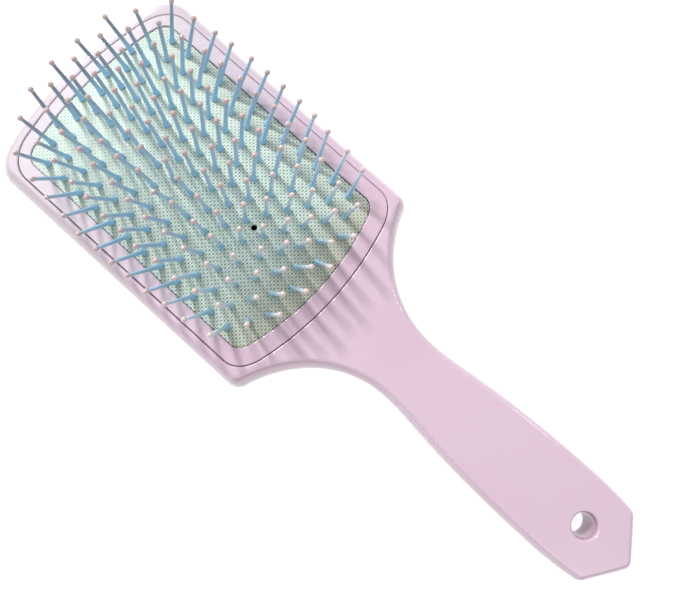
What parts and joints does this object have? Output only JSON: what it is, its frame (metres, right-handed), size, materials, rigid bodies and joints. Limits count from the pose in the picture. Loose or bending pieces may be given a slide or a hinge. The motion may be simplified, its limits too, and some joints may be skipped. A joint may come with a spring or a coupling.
{
  "type": "paddle brush",
  "caption": "Rectangular paddle hairbrush: one-piece handle and head with a hang hole, a domed rubber air cushion under a retaining frame, and upright ball-tipped pins.",
  "frame": {"origin": "middle of the brush's length and width, on the plane of the flat back that it lies on", "axes": "+X from the head towards the handle's pointed end, +Z out of the back towards the pin tips"},
  "size_m": [0.2362, 0.0816, 0.0366],
  "materials": {
    "shell": "gloss",
    "frame": "gloss",
    "cushion": "matte",
    "pin": "satin",
    "ball_tip": "gloss"
  },
  "bodies": {
    "handle_and_head": {"handle_body": "shell", "retaining_frame": "frame", "rubber_cushion": "cushion"},
    "centre_pins": {"pins_d_middle": "pin", "pins_e_middle": "pin", "pins_f_middle": "pin", "pins_g_middle": "pin", "pins_h_middle": "pin"},
    "shoulder_pins": {"pins_b_middle": "pin", "pins_c_middle": "pin", "pins_d_head_shoulder": "pin", "pins_d_handle_shoulder": "pin", "pins_e_head_shoulder": "pin", "pins_e_handle_shoulder": "pin", "pins_f_head_shoulder": "pin", "pins_f_handle_shoulder": "pin", "pins_g_head_shoulder": "pin", "pins_g_handle_shoulder": "pin", "pins_h_head_shoulder": "pin", "pins_h_handle_shoulder": "pin", "pins_i_middle": "pin", "pins_j_middle": "pin"},
    "edge_pins": {"pins_a_middle": "pin", "pins_b_head_edge": "pin", "pins_b_handle_edge": "pin", "pins_c_head_edge": "pin", "pins_c_handle_edge": "pin", "pins_d_head_edge": "pin", "pins_d_handle_edge": "pin", "pins_e_head_edge": "pin", "pins_e_handle_edge": "pin", "pins_f_head_edge": "pin", "pins_f_handle_edge": "pin", "pins_g_head_edge": "pin", "pins_g_handle_edge": "pin", "pins_h_head_edge": "pin", "pins_h_handle_edge": "pin", "pins_i_head_edge": "pin", "pins_i_handle_edge": "pin", "pins_j_head_edge": "pin", "pins_j_handle_edge": "pin", "pins_k_middle": "pin"}
  },
  "joints": [
    {"name": "cushion_press", "type": "slide", "parent": "handle_and_head", "child": "centre_pins", "axis": [0, 0, -1], "range_m": [0, 0.0032], "stiffness_N_per_m": 1500, "deforming": ["rubber_cushion"]},
    {"name": "shoulder_press", "type": "slide", "parent": "handle_and_head", "child": "shoulder_pins", "axis": [0, 0, -1], "range_m": [0, 0.002]},
    {"name": "edge_press", "type": "slide", "parent": "handle_and_head", "child": "edge_pins", "axis": [0, 0, -1], "range_m": [0, 0.0008]}
  ],
  "couplings": [
    {"joint": "shoulder_press", "follows": "cushion_press", "ratio": 0.62},
    {"joint": "edge_press", "follows": "cushion_press", "ratio": 0.24}
  ]
}
